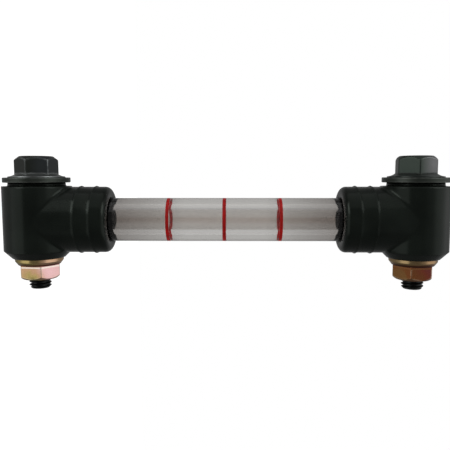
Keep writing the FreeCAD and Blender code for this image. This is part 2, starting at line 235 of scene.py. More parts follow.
def handOver(piece, node, material):
    # the piece stands for a solid of the frame and moves with it
    piece.data.materials.clear()
    piece.data.materials.append(material)
    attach(piece, "root")
    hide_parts(node)


def cleanCopy(name, node):
    # a copy of a solid with its loose triangles joined and its flat faces made whole
    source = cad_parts[node]
    piece = bpy.data.objects.new(name, source.data.copy())
    bpy.context.scene.collection.objects.link(piece)
    activate(piece)
    bpy.ops.mesh.customdata_custom_splitnormals_clear()
    bpy.ops.object.mode_set(mode="EDIT")
    bpy.ops.mesh.select_all(action="SELECT")
    bpy.ops.mesh.remove_doubles(threshold=mergeGap * mm)
    bpy.ops.mesh.dissolve_limited(angle_limit=math.radians(0.3))
    deselect()
    return piece


# Node groups shared by the materials

def newGroup(name, inputs, outputs):
    group = bpy.data.node_groups.new(name, "ShaderNodeTree")
    for label, default in inputs.items():
        socket = group.interface.new_socket(label, in_out="INPUT", socket_type="NodeSocketFloat")
        socket.default_value = default
    for label in outputs:
        group.interface.new_socket(label, in_out="OUTPUT", socket_type="NodeSocketFloat")
    start = group.nodes.new("NodeGroupInput")
    stop = group.nodes.new("NodeGroupOutput")
    return group, start, stop


def addNode(tree, kind, values=None, **settings):
    node = tree.nodes.new(f"ShaderNode{kind}")
    for name, setting in settings.items():
        setattr(node, name, setting)
    for socket, entry in (values or {}).items():
        if isinstance(entry, bpy.types.NodeSocket):
            tree.links.new(entry, node.inputs[socket])
        else:
            node.inputs[socket].default_value = entry
    return node


def addMath(tree, operation, first, second=None):
    values = {0: first} if second is None else {0: first, 1: second}
    return addNode(tree, "Math", values, operation=operation).outputs[0]


def remap(tree, source, fromLow, fromHigh, toLow=0.0, toHigh=1.0):
    node = addNode(tree, "MapRange", {
        "Value": source, "From Min": fromLow, "From Max": fromHigh,
        "To Min": toLow, "To Max": toHigh})
    return node.outputs["Result"]


# The ranges within which a noise, or the dot product of two normals, goes from 0 to 1
maskRanges = {
    "grain": (0.35, 0.65),
    "cloud": (0.3, 0.7),
    "breakup": (0.3, 0.6),
    "edge": (0.995, 0.94),
}


def makeGrain():
    # fine grain: Height for a bump and Mask for tone, at Scale cells to the metre
    group, start, stop = newGroup("fineGrain", {"Scale": 2000.0, "Detail": 3.0}, ["Height", "Mask"])
    place = addNode(group, "TexCoord")
    noise = addNode(group, "TexNoise", {
        "Vector": place.outputs["Object"], "Scale": start.outputs["Scale"],
        "Detail": start.outputs["Detail"], "Roughness": 0.6})
    group.links.new(noise.outputs["Fac"], stop.inputs["Height"])
    group.links.new(remap(group, noise.outputs["Fac"], *maskRanges["grain"]), stop.inputs["Mask"])
    return group


def makeClouding():
    # slow change of tone over a piece, with Stretch drawing it out along the tube
    group, start, stop = newGroup(
        "clouding", {"Scale": 60.0, "Stretch": 1.0, "Shift": 0.0}, ["Mask"])
    place = addNode(group, "TexCoord")
    squeeze = addNode(group, "CombineXYZ", {"X": 1.0, "Y": 1.0, "Z": start.outputs["Stretch"]})
    drawn = addNode(group, "VectorMath", {0: place.outputs["Object"], 1: squeeze.outputs[0]},
                    operation="MULTIPLY")
    moved = addNode(group, "VectorMath", {0: drawn.outputs[0], 1: start.outputs["Shift"]},
                    operation="ADD")
    noise = addNode(group, "TexNoise", {
        "Vector": moved.outputs[0], "Scale": start.outputs["Scale"], "Detail": 2.0})
    group.links.new(remap(group, noise.outputs["Fac"], *maskRanges["cloud"]), stop.inputs["Mask"])
    return group


def makeEdgeWearAndLightMask():
    # mask of the edges, where a rounded normal leaves the true one; the materials put wear and
    # painted light along it
    group, start, stop = newGroup("edgeWearAndLightMask", {"Width": 0.0004, "Breakup": 300.0}, ["Mask"])
    rounded = addNode(group, "Bevel", {"Radius": start.outputs["Width"]}, samples=4)
    surface = addNode(group, "NewGeometry")
    dot = addNode(group, "VectorMath", {0: rounded.outputs[0], 1: surface.outputs["Normal"]},
                  operation="DOT_PRODUCT")
    edge = remap(group, dot.outputs["Value"], *maskRanges["edge"])
    place = addNode(group, "TexCoord")
    noise = addNode(group, "TexNoise", {
        "Vector": place.outputs["Object"], "Scale": start.outputs["Breakup"], "Detail": 3.0})
    broken = remap(group, noise.outputs["Fac"], *maskRanges["breakup"])
    group.links.new(addMath(group, "MULTIPLY", edge, broken), stop.inputs["Mask"])
    return group


fineGrain = makeGrain()
clouding = makeClouding()
edgeWearAndLightMask = makeEdgeWearAndLightMask()


def useGroup(tree, group, **values):
    node = tree.nodes.new("ShaderNodeGroup")
    node.node_tree = group
    for label, entry in values.items():
        node.inputs[label].default_value = entry
    return node


# Materials. Scales are in cells to the metre, widths and places in metres.

def newMaterial(name, **shaderValues):
    material = bpy.data.materials.new(name)
    material.use_nodes = True
    shader = material.node_tree.nodes["Principled BSDF"]
    for label, entry in shaderValues.items():
        shader.inputs[label.replace("_", " ")].default_value = entry
    return material, material.node_tree, shader


def objectPlace(tree):
    # where a point lies in the frame, as the outputs X, Y and Z
    place = addNode(tree, "TexCoord")
    return addNode(tree, "SeparateXYZ", {"Vector": place.outputs["Object"]}).outputs


def mixColour(tree, share, first, second, **settings):
    node = addNode(tree, "Mix", {"Factor": share}, data_type="RGBA", **settings)
    for socket, entry in zip(node.inputs[6:8], (first, second)):
        if isinstance(entry, bpy.types.NodeSocket):
            tree.links.new(entry, socket)
        else:
            socket.default_value = (*entry, 1.0)
    return node.outputs[2]


def addRamp(tree, share, marks):
    # marks are (position, colour), from low to high
    ramp = addNode(tree, "ValToRGB", {"Fac": share})
    stops = ramp.color_ramp.elements
    while len(stops) < len(marks):
        stops.new(1.0)
    for stop, (position, colour) in zip(stops, marks):
        stop.position = position
        stop.color = (*colour, 1.0)
    return ramp.outputs["Color"]


def bandMask(tree, source, centre, half, full=0.4):
    # 1 in the middle of a band, up to a part of its half width, falling to 0 at its edges
    distance = addMath(tree, "ABSOLUTE", addMath(tree, "SUBTRACT", source, centre))
    return remap(tree, distance, half, half * full)


def addSurface(tree, shader, look, grain, tone):
    # the tone, with the grain in the roughness and in a bump; soften rounds edges to the eye
    tree.links.new(tone, shader.inputs["Base Color"])
    rough = remap(tree, grain.outputs["Mask"], 0.0, 1.0, *look["rough"])
    tree.links.new(rough, shader.inputs["Roughness"])
    if "bump" not in look:
        return
    bump = addNode(tree, "Bump", {"Height": grain.outputs["Height"], "Strength": look["bump"],
                                  "Distance": look["grainDepth"]})
    if "soften" in look:
        rounded = addNode(tree, "Bevel", {"Radius": look["soften"]}, samples=8)
        tree.links.new(rounded.outputs["Normal"], bump.inputs["Normal"])
    tree.links.new(bump.outputs["Normal"], shader.inputs["Normal"])


mouldingLook = {
    "dark": (0.0035, 0.0045, 0.0037),
    "pale": (0.0062, 0.0080, 0.0066),
    # lighter at edges, ribs and junctions: partly wear, partly a painted highlight
    "edge": (0.0120, 0.0140, 0.0120),
    "sheen": 0.16,
    "sheenTint": (0.86, 1.0, 0.88, 1.0),
    "cloud": 70.0,
    "edgeWidth": 0.0006,
    "soften": 0.0014,
    "grain": 2600.0,
    "grainDepth": 0.00004,
    "bump": 0.25,
    "rough": (0.16, 0.24),
}


def makeMoulding():
    look = mouldingLook
    material, tree, shader = newMaterial(
        "blackMoulding", Specular_IOR_Level=look["sheen"], Specular_Tint=look["sheenTint"])
    cloud = useGroup(tree, clouding, Scale=look["cloud"])
    edge = useGroup(tree, edgeWearAndLightMask, Width=look["edgeWidth"])
    grain = useGroup(tree, fineGrain, Scale=look["grain"])
    tone = mixColour(tree, cloud.outputs["Mask"], look["dark"], look["pale"])
    # painted highlight along edges, ribs and junctions, with some wear
    tone = mixColour(tree, edge.outputs["Mask"], tone, look["edge"])
    addSurface(tree, shader, look, grain, tone)
    return material


blackenedLook = {
    "dark": (0.032, 0.037, 0.031),
    "pale": (0.046, 0.053, 0.046),
    # worn edges, lightened further as a painted highlight
    "edgeWearAndLight": (0.13, 0.14, 0.13),
    # the threaded end is oiled, and painted darker as the shade of its threads
    "oilAndShade": (0.013, 0.015, 0.014),
    "oilAndShadeFrom": (0.008, 0.009),      # past the tank wall's plane
    "oilFilm": 0.25,
    "oilRough": 0.08,
    "metal": 0.85,
    "cloud": 110.0,
    "cloudOnHead": 0.3,
    "flangeFrom": (0.0024, 0.0016),   # out from the seat of the bolt
    "edgeWidth": 0.0009,
    "grain": 3200.0,
    "grainDepth": 0.00003,
    "bump": 0.12,
    "rough": (0.30, 0.44),
}
# Painted light per head: a lit side up the tube, a flange lit on the lower bolt and shaded on the
# upper, lit edges below and dark above
headPaintedLight = {
    "lower": {
        "drift": (0.0, 0.004),        # from the bolt's axis, up the tube
        "low": (0.024, 0.027, 0.023),
        "high": (0.036, 0.041, 0.044),
        "flange": (0.125, 0.132, 0.130),
        "edgeWearAndLight": (0.30, 0.32, 0.32),
    },
    "upper": {
        "drift": (-0.001, 0.005),
        "low": (0.036, 0.048, 0.040),
        "high": (0.145, 0.145, 0.148),
        "flange": (0.040, 0.046, 0.042),
        "edgeWearAndLight": (0.004, 0.005, 0.004),
    },
}


def makeBlackened(name, shift=0.0, end=None):
    # an end is given for a bolt, whose head then gets the painted light of that end
    look = blackenedLook
    edgeWearAndLight = look["edgeWearAndLight"]
    material, tree, shader = newMaterial(
        name, Metallic=look["metal"], Coat_Roughness=look["oilRough"])
    cloud = useGroup(tree, clouding, Scale=look["cloud"], Shift=shift)
    edge = useGroup(tree, edgeWearAndLightMask, Width=look["edgeWidth"])
    grain = useGroup(tree, fineGrain, Scale=look["grain"])
    tone = mixColour(tree, cloud.outputs["Mask"], look["dark"], look["pale"])
    place = objectPlace(tree)
    if end:
        head = headPaintedLight[end]
        edgeWearAndLight = head["edgeWearAndLight"]
        # painted light: the head turns paler up the tube, on the side towards the light
        low, high = (boltZ[end] + reach for reach in head["drift"])
        tone = mixColour(tree, remap(tree, place["Z"], low, high), head["low"], head["high"])
        # the flange painted lit on the lower bolt and shaded on the upper
        top, bottom = (boltSeatY - rise for rise in look["flangeFrom"])
        tone = mixColour(tree, remap(tree, place["Y"], top, bottom), tone, head["flange"])
        faint = remap(tree, cloud.outputs["Mask"], 0.0, 1.0, 0.0, look["cloudOnHead"])
        tone = mixColour(tree, faint, tone, look["pale"])
    # painted shade on the threaded end, with a real film of oil in the coat
    oilAndShade = remap(tree, place["Y"], *look["oilAndShadeFrom"])
    # edges: wear with a painted highlight, and on the upper head a painted dark line
    tone = mixColour(tree, edge.outputs["Mask"], tone, edgeWearAndLight)
    tone = mixColour(tree, oilAndShade, tone, look["oilAndShade"])
    film = remap(tree, oilAndShade, 0.0, 1.0, 0.0, look["oilFilm"])
    tree.links.new(film, shader.inputs["Coat Weight"])
    addSurface(tree, shader, look, grain, tone)
    return material


# Places on the nuts are past the tank wall's plane, towards the free end
zincLook = {
    "cloud": 130.0,
    "driftShare": 0.70,               # of the film's change, the rest is clouding
    "thinning": (0.004, 0.011),
    "flangeEnds": (0.0032, 0.0036),
    "rimEnds": (0.0024, 0.0020),
    "paintedShadowBand": (0.0029, 0.0007),    # middle and half width of a painted shadow line round the flange's outer edge
    "paintedHighlightBand": (0.0040, 0.0004),     # a painted highlight line round the foot of the hexagon
    # bare zinc at the hexagon's edges, lightened as a painted highlight
    "bareAndLit": (0.88, 0.72, 0.50),
    "bareAndLitFrom": (0.0042, 0.0046),
    "edgeWidth": 0.0009,
    "grain": 2400.0,
    "grainDepth": 0.00003,
    "bump": 0.2,
    "rough": (0.16, 0.30),
}
zincTones = {
    "lower": {
        "shift": 0.37,
        "drift": (0.0010, 0.0060),    # from the bolt's axis, up the tube
        "thin": 0.32,
        "thinned": 0.25,              # lost towards the free end
        "flange": 0.45,
        "rim": (0.42, 0.34, 0.15),
        "rimShare": 0.2,
        # tones of the painted shadow line and the painted highlight line
        "paintedShadowTone": (0.22, 0.08, 0.04),
        "paintedHighlightTone": (0.95, 0.84, 0.74),
        "film": [
            (0.05, (0.20, 0.17, 0.05)),
            (0.20, (0.48, 0.36, 0.14)),
            (0.34, (0.60, 0.36, 0.21)),
            (0.62, (0.78, 0.48, 0.45)),
            (0.90, (0.84, 0.52, 0.52)),
        ],
    },
    "upper": {
        "shift": 0.11,
        "drift": (-0.0060, 0.0040),
        "thin": 0.0,
        "thinned": 0.3,
        "flange": 0.6,
        "rim": (0.46, 0.38, 0.20),
        "rimShare": 0.5,
        # tones of the painted shadow line and the painted highlight line
        "paintedShadowTone": (0.12, 0.05, 0.03),
        "paintedHighlightTone": (0.26, 0.12, 0.05),
        "film": [
            (0.04, (0.25, 0.125, 0.045)),
            (0.16, (0.24, 0.088, 0.030)),
            (0.40, (0.23, 0.080, 0.032)),
            (0.65, (0.25, 0.062, 0.036)),
            (0.90, (0.22, 0.058, 0.050)),
        ],
    },
}


def makeZinc(end):
    # passivated zinc, whose thin film drifts between olive, gold, pink and rose
    look, tones = zincLook, zincTones[end]
    material, tree, shader = newMaterial(f"yellowZinc_{end}", Metallic=1.0)
    cloud = useGroup(tree, clouding, Scale=look["cloud"], Shift=tones["shift"])
    edge = useGroup(tree, edgeWearAndLightMask, Width=look["edgeWidth"])
    grain = useGroup(tree, fineGrain, Scale=look["grain"])
    place = objectPlace(tree)
    low, high = (boltZ[end] + reach for reach in tones["drift"])
    across = remap(tree, place["Z"], low, high, tones["thin"])
    patchy = addNode(tree, "Mix", {0: look["driftShare"], 2: cloud.outputs["Mask"], 3: across})
    thinned = remap(tree, place["Y"], *look["thinning"], 0.0, tones["thinned"])
    film = addMath(tree, "SUBTRACT", patchy.outputs[0], thinned)
    onFlange = remap(tree, place["Y"], *look["flangeEnds"], tones["flange"], 1.0)
    film = addMath(tree, "MULTIPLY", film, onFlange)
    tone = addRamp(tree, film, tones["film"])
    rim = remap(tree, place["Y"], *look["rimEnds"], 0.0, tones["rimShare"])
    tone = mixColour(tree, rim, tone, tones["rim"])
    # a painted shadow line round the flange's edge and a painted highlight line round the hexagon's
    # foot
    for line, colour in (("paintedShadowBand", "paintedShadowTone"), ("paintedHighlightBand", "paintedHighlightTone")):
        band = bandMask(tree, place["Y"], *look[line])
        tone = mixColour(tree, band, tone, tones[colour])
    # worn bare zinc with a painted highlight on the hexagon's edges
    onHexagon = remap(tree, place["Y"], *look["bareAndLitFrom"])
    bareAndLit = addMath(tree, "MULTIPLY", edge.outputs["Mask"], onHexagon)
    tone = mixColour(tree, bareAndLit, tone, look["bareAndLit"])
    addSurface(tree, shader, look, grain, tone)
    return material


tubeLook = {
    "outside": ((0.72, 0.71, 0.695), (0.37, 0.35, 0.335)),    # at mid length, and near the ends, where it is painted darker as shade
    "bore": ((0.52, 0.485, 0.455), (0.41, 0.38, 0.36)),
    "nearEnd": (0.018, 0.052),    # from mid length, where the tones change over to the painted shade
    "boreEnds": (0.005, 0.009),   # from the axis, where the outside's tone takes over
    "boreClear": (0.72, 0.70, 0.68),
    "boreSide": 0.0042,           # the bore is painted darker along the tube's middle plane as shade, and clearer this far off it
    "clearShare": 0.8,
    # painted shade: a dark band along the middle of the bore
    "paintedDarkBand": (0.90, 0.85, 0.825),
    "paintedDarkBandShare": (0.4, 1.0),
    "stripe": 0.0013,             # half the height of the painted dark band along the bore
    "stripeFull": 0.3,            # part of the band that is fully dark
    "haze": 90.0,
    "hazeStretch": 0.2,
    "rough": (0.02, 0.08),
    "bending": 1.49,
    "absorbed": (0.5, 0.49, 0.47, 1.0),
    "absorb": 40.0,
}


def makeTubeGlass():
    look = tubeLook
    material, tree, shader = newMaterial("clearTube", Transmission_Weight=1.0, IOR=look["bending"])
    coordinate = addNode(tree, "TexCoord")
    place = objectPlace(tree)
    haze = useGroup(tree, clouding, Scale=look["haze"], Stretch=look["hazeStretch"])
    # tones along the tube, of its outside and of its bore, painted darker near the ends as shade
    nearEnd = remap(tree, addMath(tree, "ABSOLUTE", place["Z"]), *look["nearEnd"])
    outside = mixColour(tree, nearEnd, *look["outside"])
    bore = mixColour(tree, nearEnd, *look["bore"])
    # painted shade: the bore darker along the tube's middle plane
    offAxis = addMath(tree, "ABSOLUTE", addMath(tree, "SUBTRACT", place["Y"], tubeY))
    aside = remap(tree, offAxis, 0.0, look["boreSide"], 0.0, look["clearShare"])
    bore = mixColour(tree, aside, bore, look["boreClear"])
    fromAxis = addNode(tree, "VectorMath", {0: coordinate.outputs["Object"], 1: (0, tubeY, 0)},
                       operation="SUBTRACT")
    flat = addNode(tree, "VectorMath", {0: fromAxis.outputs[0], 1: (1, 1, 0)}, operation="MULTIPLY")
    reach = addNode(tree, "VectorMath", {0: flat.outputs[0]}, operation="LENGTH")
    outward = remap(tree, reach.outputs["Value"], *look["boreEnds"])
    tone = mixColour(tree, outward, bore, outside)
    # painted shade: a patchy dark band along the middle of the bore
    stripe = remap(tree, offAxis, look["stripe"], look["stripe"] * look["stripeFull"])
    patchy = remap(tree, haze.outputs["Mask"], 0.0, 1.0, *look["paintedDarkBandShare"])
    film = addMath(tree, "MULTIPLY", stripe, patchy)
    tone = mixColour(tree, film, tone, look["paintedDarkBand"], blend_type="MULTIPLY")
    tree.links.new(tone, shader.inputs["Base Color"])
    rough = remap(tree, haze.outputs["Mask"], 0.0, 1.0, *look["rough"])
    tree.links.new(rough, shader.inputs["Roughness"])
    absorption = addNode(tree, "VolumeAbsorption", {
        "Color": look["absorbed"], "Density": look["absorb"]})
    output = tree.nodes["Material Output"]
    tree.links.new(absorption.outputs["Volume"], output.inputs["Volume"])
    return material


ringLook = {
    "dark": (0.58, 0.003, 0.003),
    "pale": (0.70, 0.005, 0.005),
    "through": 0.85,
    "bending": 1.3,
    "cloud": 400.0,
    "grain": 1800.0,
    "grainDepth": 0.00003,
    "bump": 0.15,
    "rough": (0.30, 0.45),
}


def makeRingPaint():
    # thin paint, which lets some light through
    look = ringLook
    material, tree, shader = newMaterial(
        "ringPaint", Transmission_Weight=look["through"], IOR=look["bending"])
    cloud = useGroup(tree, clouding, Scale=look["cloud"])
    grain = useGroup(tree, fineGrain, Scale=look["grain"])
    tone = mixColour(tree, cloud.outputs["Mask"], look["dark"], look["pale"])
    addSurface(tree, shader, look, grain, tone)
    return material


rubberLook = {
    "dark": (0.010, 0.010, 0.010),
    "pale": (0.018, 0.018, 0.017),
    "sheen": 0.3,
    "grain": 1500.0,
    "grainDepth": 0.00005,
    "bump": 0.3,
    "rough": (0.6, 0.8),
}


def makeRubber():
    look = rubberLook
    material, tree, shader = newMaterial("sealRubber", Specular_IOR_Level=look["sheen"])
    grain = useGroup(tree, fineGrain, Scale=look["grain"])
    tone = mixColour(tree, grain.outputs["Mask"], look["dark"], look["pale"])
    addSurface(tree, shader, look, grain, tone)
    return material


steelLook = {
    "dark": (0.42, 0.42, 0.42),
    "pale": (0.55, 0.55, 0.54),
    "cloud": 200.0,
    "grain": 3000.0,
    "rough": (0.25, 0.40),
}


def makePlainSteel():
    look = steelLook
    material, tree, shader = newMaterial("plainSteel", Metallic=1.0)
    cloud = useGroup(tree, clouding, Scale=look["cloud"])
    grain = useGroup(tree, fineGrain, Scale=look["grain"])
    tone = mixColour(tree, cloud.outputs["Mask"], look["dark"], look["pale"])
    addSurface(tree, shader, look, grain, tone)
    return material


moulding = makeMoulding()
# each bolt's steel carries the painted light of its own end
blackenedBolts = {end: makeBlackened(f"blackenedSteel_{end}", end=end) for end in ends}
blackenedWasher = makeBlackened("blackenedWasher", shift=0.5)
zinc = {end: makeZinc(end) for end in ends}
tubeGlass = makeTubeGlass()
ringPaint = makeRingPaint()
rubber = makeRubber()
plainSteel = makePlainSteel()
print("materials made")


# Sight tube and level rings

tubeSizes = {
    "outer": 10.0,      # this and the bore are radii
    "bore": 4.75,
    "edge": 0.4,
    "ringWidth": 1.5,
    "ringDepth": 0.3,
    "ringGap": 0.01,    # air left under the paint
    "segments": 192,
}
ringHeights = {step: middle(f"level_ring_{step}", 2) / mm for step in ("low", "middle", "high")}


def makeTube():
    # a thick wall with a groove for each ring
    sizes = tubeSizes
    outer, bore, edge = sizes["outer"], sizes["bore"], sizes["edge"]
    floor, halfRing = outer - sizes["ringDepth"], sizes["ringWidth"] / 2
    halfTube = tubeHalf / mm
    rings = [(bore, -halfTube), (outer - edge, -halfTube), (outer, edge - halfTube)]
    for height in ringHeights.values():
        rings += [(outer, height - halfRing), (floor, height - halfRing),
                  (floor, height + halfRing), (outer, height + halfRing)]
    rings += [(outer, halfTube - edge), (outer - edge, halfTube), (bore, halfTube)]
    rings.append(rings[0])
    tube = turned("sightTube", rings, sizes["segments"])
    settle(tube, Matrix.Translation((0, tubeY, 0)))
    finishSurface(tube, angle=20)
    handOver(tube, "sight_tube", tubeGlass)


def makeLevelRings():
    sizes = tubeSizes
    gap = sizes["ringGap"]
    inner = sizes["outer"] - sizes["ringDepth"] + gap
    outer = sizes["outer"] + gap / 2
    half = sizes["ringWidth"] / 2 - gap
    rings = [(inner, -half), (outer, -half), (outer, half), (inner, half), (inner, -half)]
    model = turned("levelRing", rings, sizes["segments"])
    for step, height in ringHeights.items():
        spot = Matrix.Translation((0, tubeY, height * mm))
        band = placeCopy(model, f"levelRing_{step}", spot)
        handOver(band, f"level_ring_{step}", ringPaint)
    discard(model)


makeTube()
makeLevelRings()
print("tube and rings made")


# Moulded end fittings

def placeHousing(end):
    housing = cleanCopy(f"housingShell_{end}", f"housing_{end}")
    finishSurface(housing, angle=35)
    handOver(housing, f"housing_{end}", moulding)


# Washers

washerSizes = {
    "bore": 5.2,
    "outer": 15.0,
    "rise": 2.3,
    "rounding": 0.35,
}


def makeWasher():
    sizes = washerSizes
    bore, outer, rise, rounding = (sizes[key] for key in ("bore", "outer", "rise", "rounding"))
    rings = [(bore, -rise)]
    rings += arc(outer - rounding, rounding - rise, rounding, -90, 0)
    rings += arc(outer - rounding, -rounding, rounding, 0, 90)
    rings += [(bore, 0), rings[0]]
    return turned("flatWasher", rings)


def placeWasher(end, side):
    spot = boltSpot(side, boltSeatY, boltZ[end], corner=0)
    washer = placeCopy(washerModel, f"flatWasher_{end}", spot)
    handOver(washer, f"washer_{end}", blackenedWasher)


# Hollow flange bolts. Height 0 is the seat under the flange.

boltSizes = {
    "across": 17.0,      # across flats; the other widths are radii
    "headRise": 9.8,
    "crownInset": 1.1,
    "crownSlope": 0.78,
    "flangeRadius": 12.7,
    "flangeRim": 0.5,
    "flangeRise": 1.8,
    "flangeLedge": 0.6,
    "flangeHollow": 6.0,
    "rounding": 0.35,
    "headSink": 1.0,     # the hexagon starts this far up in the flange
    "thread": 5.0,
    "threadDepth": 0.92,
    "threadPlay": 0.03,  # the crests stand this far inside the plain shank
    "threadProfile": (0.16, 0.36, 0.12, 0.36),    # root, flank, crest, flank, in parts of a pitch
    "threadSteps": 72,
    "pitch": 1.5,
    "threadLength": 8.0,
    "tipBevel": 1.0,
    "oilBore": 2.75,
    "borePoint": 1.6,
    "pointRadius": 0.1375,
    "crossBore": 2.5,
    "crossDepth": 0.2,   # the oil bore runs this far past the cross bore
    "waistDepth": 0.8,
    "waistHalf": 4.0,    # half its height, level with the tube
    "turn": 21.0,        # degrees at which the hexagon stopped
}


def makeThread(low, high):
    # the thread's profile wound through one turn by a screw, then cut square at both ends
    sizes = boltSizes
    pitch, depth = sizes["pitch"], sizes["threadDepth"]
    root = sizes["thread"] - sizes["threadPlay"] - depth
    profile = list(zip((0, depth, 0, -depth), sizes["threadProfile"]))
    deselect()
    bpy.ops.mesh.primitive_plane_add(size=1, location=(0, 0, 0))
    thread = bpy.context.active_object
    thread.name = thread.data.name = "thread"
    bpy.ops.object.mode_set(mode="EDIT")
    bpy.ops.mesh.select_all(action="SELECT")
    bpy.ops.mesh.merge(type="CENTER")
    bpy.ops.transform.translate(value=(root, 0, low - pitch * 2))
    for turn in range(math.ceil((high - low) / pitch) + 3):
        for out, up in profile:
            bpy.ops.mesh.extrude_region_move(
                TRANSFORM_OT_translate={"value": (out, 0, up * pitch)})
    deselect()
    applyModifier(thread, "SCREW", axis="Z", angle=math.radians(360), screw_offset=pitch,
                  iterations=1, steps=sizes["threadSteps"], render_steps=sizes["threadSteps"])
    activate(thread)
    bpy.ops.object.mode_set(mode="EDIT")
    bpy.ops.mesh.select_all(action="SELECT")
    bpy.ops.mesh.remove_doubles(threshold=mergeGap)
    for height, up in ((low, 1), (high, -1)):
        bpy.ops.mesh.select_all(action="SELECT")
        bpy.ops.mesh.bisect(plane_co=(0, 0, height), plane_no=(0, 0, up), clear_inner=True,
                            use_fill=True)
    bpy.ops.mesh.select_all(action="SELECT")
    bpy.ops.mesh.normals_make_consistent(inside=False)
    deselect()
    return thread


def shankRings(threadTop, oilLevel):
    # from the thread up past the waist to the seat, and round the hollow-sided flange
    sizes = boltSizes
    radius, halfRound = sizes["thread"], sizes["rounding"] / 2
    waist, waistHalf = radius - sizes["waistDepth"], sizes["waistHalf"]
    flange = sizes["flangeRadius"]
    flangeTop = sizes["across"] / 2 + sizes["flangeLedge"]
    rings = [
        (radius, threadTop - halfRound),
        (radius, oilLevel - waistHalf),
        (waist, oilLevel - waistHalf + sizes["waistDepth"]),
        (waist, oilLevel + waistHalf - sizes["waistDepth"]),
        (radius, oilLevel + waistHalf),
        (radius, 0),
        (flange - halfRound, 0),
    ]
    rings += arc(flange - halfRound, halfRound, halfRound, -60, 30, 4)
    rim, ledge = (flange - halfRound / 2, sizes["flangeRim"]), (flangeTop, sizes["flangeRise"])
    rings += hollowArc(rim, ledge, sizes["flangeHollow"])
    return rings


def addThread(bolt, tip, threadTop):
    sizes = boltSizes
    thread = makeThread(tip, threadTop)
    reach = sizes["thread"] + sizes["rounding"]
    tipShape = turned("tipShape", [
        (sizes["thread"] - sizes["tipBevel"], tip),
        (reach, tip + sizes["tipBevel"] + sizes["rounding"]),
        (reach, threadTop + sizes["rounding"]),
    ])
    combine(thread, tipShape, "INTERSECT")
    combine(bolt, thread, "UNION")


def drillBolt(bolt, tip, oilLevel):
    # oil bore from the tip, and a cross bore level with the tube
    sizes = boltSizes
    boreTop = oilLevel + sizes["crossBore"] + sizes["crossDepth"]
    drill = turned("drill", [
        (sizes["oilBore"], tip - sizes["rounding"]),
        (sizes["oilBore"], boreTop),
        (sizes["pointRadius"], boreTop + sizes["borePoint"]),
    ], segments=64)
    combine(bolt, drill, "DIFFERENCE")
    reach = sizes["thread"] * 2
    crossDrill = turned("crossDrill", [
        (sizes["crossBore"], -reach),
        (sizes["crossBore"], reach),
    ], segments=48)
    crossDrill.matrix_world = (Matrix.Translation((0, 0, oilLevel))
                               @ Matrix.Rotation(math.radians(90), 4, "Y"))
    combine(bolt, crossDrill, "DIFFERENCE")


def makeBolt():
    sizes = boltSizes
    tip = (boltSeatY - boltTipY) / mm
    threadTop = tip + sizes["threadLength"]
    oilLevel = (boltSeatY - tubeY) / mm
    bolt = turned("hollowFlangeBolt", shankRings(threadTop, oilLevel))
    head = hexBlock("head", sizes, sizes["headSink"], sizes["headRise"])
    combine(bolt, head, "UNION")
    addThread(bolt, tip, threadTop)
    drillBolt(bolt, tip, oilLevel)
    return bolt


def placeBolt(end, side):
    spot = boltSpot(side, boltSeatY, boltZ[end], boltSizes["turn"])
    bolt = placeCopy(boltModel, f"hollowFlangeBolt_{end}", spot)
    handOver(bolt, f"hollow_bolt_{end}", blackenedBolts[end])


# Flange nuts. Height 0 is the seat on the fitting.

nutSizes = {
    "across": 17.0,        # across flats; the other widths are radii
    "rise": 10.0,
    "flange": 10.9,
    "flangeRim": 1.6,
    "flangeRise": 3.4,
    "flangeTop": 9.7,      # radius of the flat on which the hexagon stands
    "crownInset": 0.7,
    "crownSlope": 0.78,
    "rounding": 0.45,
    "bore": 5.0,
    "lead": 0.6,           # bevel at each end of the bore
    "turn": {"lower": 53.5, "upper": 8.0},
}


def makeNut():
    sizes = nutSizes
    flange, rounding, rise = sizes["flange"], sizes["rounding"], sizes["rise"]
    rings = [(flange - rounding / 2, 0)]
    rings += arc(flange - rounding / 2, rounding / 2, rounding / 2, -60, 0, 3)
    rings += arc(flange - rounding, sizes["flangeRim"] - rounding / 2, rounding, 0, 25, 4)
    rings += arc(sizes["flangeTop"] - rounding, sizes["flangeRise"] - rounding, rounding, 30, 90, 4)
    nut = turned("flangeNutBody", rings)
    block = hexBlock("block", sizes, sizes["flangeRim"] / 2, rise)
    combine(nut, block, "UNION")
    bore, lead = sizes["bore"], sizes["lead"]
    drill = turned("drill", [
        (bore + lead * 2, -lead),
        (bore, lead),
        (bore, rise - lead),
        (bore + lead * 2, rise + lead),
    ], segments=96)
    combine(nut, drill, "DIFFERENCE")
    return nut


def placeNut(end, side):
    spot = boltSpot(side, 0, boltZ[end], nutSizes["turn"][end], flip=True)
    nut = placeCopy(nutModel, f"flangeNutBody_{end}", spot)
    handOver(nut, f"flange_nut_{end}", zinc[end])


# The hardware is modelled once and copied to both ends

washerModel = makeWasher()
boltModel = makeBolt()
nutModel = makeNut()
print("hardware modelled")
for end, side in ends.items():
    placeHousing(end)
    placeWasher(end, side)
    placeBolt(end, side)
    placeNut(end, side)
    print("end made:", end)
for model in (washerModel, boltModel, nutModel):
    discard(model)


# The seals and bushes inside stay as the frame's own solids

innerFinishes = {"bush": plainSteel, "tank_seal": rubber, "head_seal": rubber, "tube_seal": rubber}
for node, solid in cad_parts.items():
    for start, material in innerFinishes.items():
        if node.startswith(start):
            solid.data.materials.clear()
            solid.data.materials.append(material)
print("inner pieces finished")


# Camera, on the photographed side, with the tube lying across its view

cameraSizes = {
    "distance": 237.1,     # millimetres from the tube's axis
    "above": 20.8,         # out from the wall, past the tube's axis
    "along": 3.6,
    "pitch": 5.63,
    "turn": 0.89,
    "roll": 0.067,
    "lens": 40.9,
    "nearest": 0.01,       # metres, the nearest that the camera sees
}


